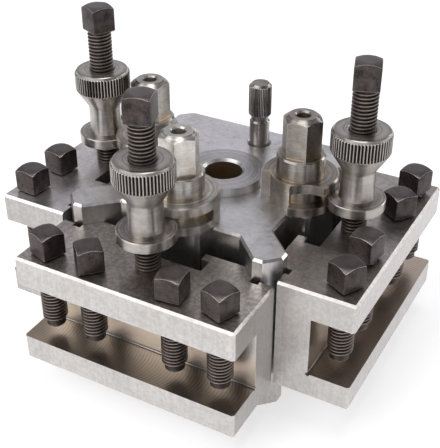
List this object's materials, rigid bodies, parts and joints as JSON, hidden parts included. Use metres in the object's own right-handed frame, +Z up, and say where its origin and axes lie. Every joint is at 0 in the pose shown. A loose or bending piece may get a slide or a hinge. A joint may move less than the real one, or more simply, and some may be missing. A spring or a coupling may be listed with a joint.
{
  "type": "quick change tool post set",
  "caption": "Square lathe tool post with wedge stations, cam spindles, and hung tool holders set in height by knurled nuts.",
  "frame": {"origin": "on the base plane, on the axis of the central mounting bore", "axes": "+Z up along the bore, -Y out of the front station, +X out of the right station"},
  "size_m": [0.1592, 0.1276, 0.1346],
  "materials": {
    "post_steel": "ground",
    "holder_steel": "ground",
    "spindle_steel": "turned, lightly oiled",
    "nut_steel": "turned and knurled",
    "pin_steel": "polished, knurled head",
    "spring_steel": "blackened",
    "black_steel": "black oxide, worn"
  },
  "bodies": {
    "post": {"post_body": "post_steel"},
    "pin": {"index_pin": "pin_steel"},
    "spindle_front": {"cam_spindle_front": "spindle_steel", "spindle_clip_front": "spring_steel"},
    "draw_front": {"draw_bolt_front": "spindle_steel"},
    "holder_front": {"tool_holder_front": "holder_steel", "height_stud_front": "black_steel"},
    "nut_front": {"height_nut_front": "nut_steel"},
    "screw_front_1": {"clamp_screw_front_1": "black_steel"},
    "screw_front_2": {"clamp_screw_front_2": "black_steel"},
    "screw_front_3": {"clamp_screw_front_3": "black_steel"},
    "screw_front_4": {"clamp_screw_front_4": "black_steel"},
    "spindle_right": {"cam_spindle_right": "spindle_steel", "spindle_clip_right": "spring_steel"},
    "draw_right": {"draw_bolt_right": "spindle_steel"},
    "holder_right": {"tool_holder_right": "holder_steel", "height_stud_right": "black_steel"},
    "nut_right": {"height_nut_right": "nut_steel"},
    "screw_right_1": {"clamp_screw_right_1": "black_steel"},
    "screw_right_2": {"clamp_screw_right_2": "black_steel"},
    "screw_right_3": {"clamp_screw_right_3": "black_steel"},
    "screw_right_4": {"clamp_screw_right_4": "black_steel"},
    "spindle_left": {"cam_spindle_left": "spindle_steel", "spindle_clip_left": "spring_steel"},
    "draw_left": {"draw_bolt_left": "spindle_steel"},
    "holder_left": {"tool_holder_left": "holder_steel", "height_stud_left": "black_steel"},
    "nut_left": {"height_nut_left": "nut_steel"},
    "screw_left_1": {"clamp_screw_left_1": "black_steel"},
    "screw_left_2": {"clamp_screw_left_2": "black_steel"},
    "screw_left_3": {"clamp_screw_left_3": "black_steel"},
    "screw_left_4": {"clamp_screw_left_4": "black_steel"}
  },
  "joints": [
    {"name": "pin_lift", "type": "slide", "parent": "post", "child": "pin", "axis": [0, 0, 1], "range_m": [0, 0.06]},
    {"name": "spindle_turn_front", "type": "hinge", "parent": "post", "child": "spindle_front", "pos_m": [0, -0.0348, 0], "axis": [0, 0, 1], "range_deg": [0, 60]},
    {"name": "draw_slide_front", "type": "slide", "parent": "post", "child": "draw_front", "axis": [0, -1, 0], "range_m": [0, 0.002]},
    {"name": "nut_turn_front", "type": "hinge", "parent": "post", "child": "nut_front", "pos_m": [0, -0.0589, 0], "axis": [0, 0, 1], "range_deg": [-2165, 2075]},
    {"name": "holder_lift_front", "type": "slide", "parent": "post", "child": "holder_front", "axis": [0, 0, 1], "range_m": [-0.0115, 0.012]},
    {"name": "screw_travel_front_1", "type": "slide", "parent": "holder_front", "child": "screw_front_1", "axis": [0, 0, 1], "range_m": [-0.0003, 0.0215]},
    {"name": "screw_travel_front_2", "type": "slide", "parent": "holder_front", "child": "screw_front_2", "axis": [0, 0, 1], "range_m": [-0.0003, 0.0215]},
    {"name": "screw_travel_front_3", "type": "slide", "parent": "holder_front", "child": "screw_front_3", "axis": [0, 0, 1], "range_m": [-0.0003, 0.0215]},
    {"name": "screw_travel_front_4", "type": "slide", "parent": "holder_front", "child": "screw_front_4", "axis": [0, 0, 1], "range_m": [-0.0003, 0.0215]},
    {"name": "spindle_turn_right", "type": "hinge", "parent": "post", "child": "spindle_right", "pos_m": [0.0348, 0, 0], "axis": [0, 0, 1], "range_deg": [0, 60]},
    {"name": "draw_slide_right", "type": "slide", "parent": "post", "child": "draw_right", "axis": [1, 0, 0], "range_m": [0, 0.002]},
    {"name": "nut_turn_right", "type": "hinge", "parent": "post", "child": "nut_right", "pos_m": [0.0589, 0, 0], "axis": [0, 0, 1], "range_deg": [-1787, 2453]},
    {"name": "holder_lift_right", "type": "slide", "parent": "post", "child": "holder_right", "axis": [0, 0, 1], "range_m": [-0.0136, 0.0099]},
    {"name": "screw_travel_right_1", "type": "slide", "parent": "holder_right", "child": "screw_right_1", "axis": [0, 0, 1], "range_m": [-0.0003, 0.0215]},
    {"name": "screw_travel_right_2", "type": "slide", "parent": "holder_right", "child": "screw_right_2", "axis": [0, 0, 1], "range_m": [-0.0013, 0.0215]},
    {"name": "screw_travel_right_3", "type": "slide", "parent": "holder_right", "child": "screw_right_3", "axis": [0, 0, 1], "range_m": [-0.0003, 0.0215]},
    {"name": "screw_travel_right_4", "type": "slide", "parent": "holder_right", "child": "screw_right_4", "axis": [0, 0, 1], "range_m": [-0.0014, 0.0215]},
    {"name": "spindle_turn_left", "type": "hinge", "parent": "post", "child": "spindle_left", "pos_m": [-0.0348, 0, 0], "axis": [0, 0, 1], "range_deg": [0, 60]},
    {"name": "draw_slide_left", "type": "slide", "parent": "post", "child": "draw_left", "axis": [-1, 0, 0], "range_m": [0, 0.002]},
    {"name": "nut_turn_left", "type": "hinge", "parent": "post", "child": "nut_left", "pos_m": [-0.0589, 0, 0], "axis": [0, 0, 1], "range_deg": [-1751, 2489]},
    {"name": "holder_lift_left", "type": "slide", "parent": "post", "child": "holder_left", "axis": [0, 0, 1], "range_m": [-0.0138, 0.0097]},
    {"name": "screw_travel_left_1", "type": "slide", "parent": "holder_left", "child": "screw_left_1", "axis": [0, 0, 1], "range_m": [-0.0003, 0.0215]},
    {"name": "screw_travel_left_2", "type": "slide", "parent": "holder_left", "child": "screw_left_2", "axis": [0, 0, 1], "range_m": [-0.0003, 0.0215]},
    {"name": "screw_travel_left_3", "type": "slide", "parent": "holder_left", "child": "screw_left_3", "axis": [0, 0, 1], "range_m": [-0.0003, 0.0215]},
    {"name": "screw_travel_left_4", "type": "slide", "parent": "holder_left", "child": "screw_left_4", "axis": [0, 0, 1], "range_m": [-0.0003, 0.0215]}
  ],
  "couplings": [
    {"joint": "draw_slide_front", "follows": "spindle_turn_front", "m_per_rad": 0.001909},
    {"joint": "nut_turn_front", "follows": "holder_lift_front", "rad_per_m": -3141.6},
    {"joint": "draw_slide_right", "follows": "spindle_turn_right", "m_per_rad": 0.001909},
    {"joint": "nut_turn_right", "follows": "holder_lift_right", "rad_per_m": -3141.6},
    {"joint": "draw_slide_left", "follows": "spindle_turn_left", "m_per_rad": 0.001909},
    {"joint": "nut_turn_left", "follows": "holder_lift_left", "rad_per_m": -3141.6}
  ]
}
